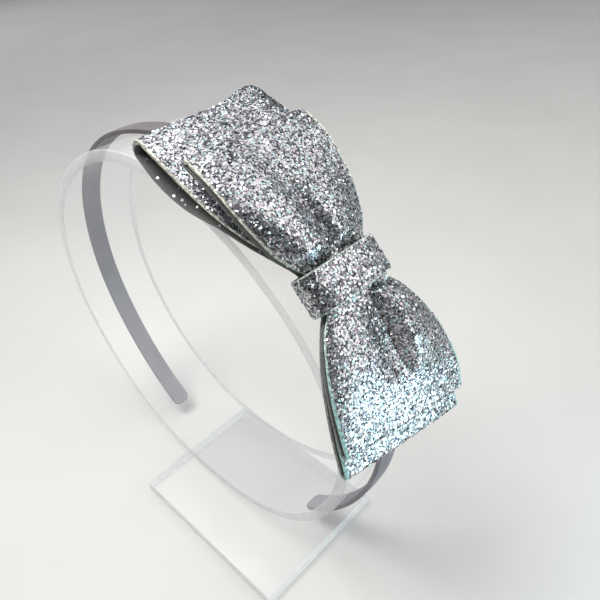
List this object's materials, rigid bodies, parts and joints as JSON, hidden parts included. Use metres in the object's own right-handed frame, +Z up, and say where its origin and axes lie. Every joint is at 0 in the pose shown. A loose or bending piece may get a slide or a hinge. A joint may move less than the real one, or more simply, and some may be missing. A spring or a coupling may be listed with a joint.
{
  "type": "glitter bow headband on clear display stand",
  "caption": "Thin satin covered headband with a layered glitter bow set to one side, slipped over a clear oval display ring that stands on a flat base plate.",
  "frame": {"origin": "on the underside of the stand's base plate, straight below the middle of the ring", "axes": "+Z up, X from ear to ear with the bow on the +X side, Y along the axis of the ring"},
  "size_m": [0.1363, 0.0468, 0.13],
  "materials": {
    "satin_band": "grey satin ribbon, soft sheen",
    "glitter_cloth": "chunky silver glitter on a dark grey backing",
    "clear_acrylic": "clear, polished, with pale cut edges"
  },
  "bodies": {
    "root": {"headband": "satin_band", "bow_back_loops": "glitter_cloth", "bow_front_loops": "glitter_cloth", "center_wrap": "glitter_cloth", "stand_ring": "clear_acrylic", "stand_base": "clear_acrylic"}
  },
  "joints": []
}
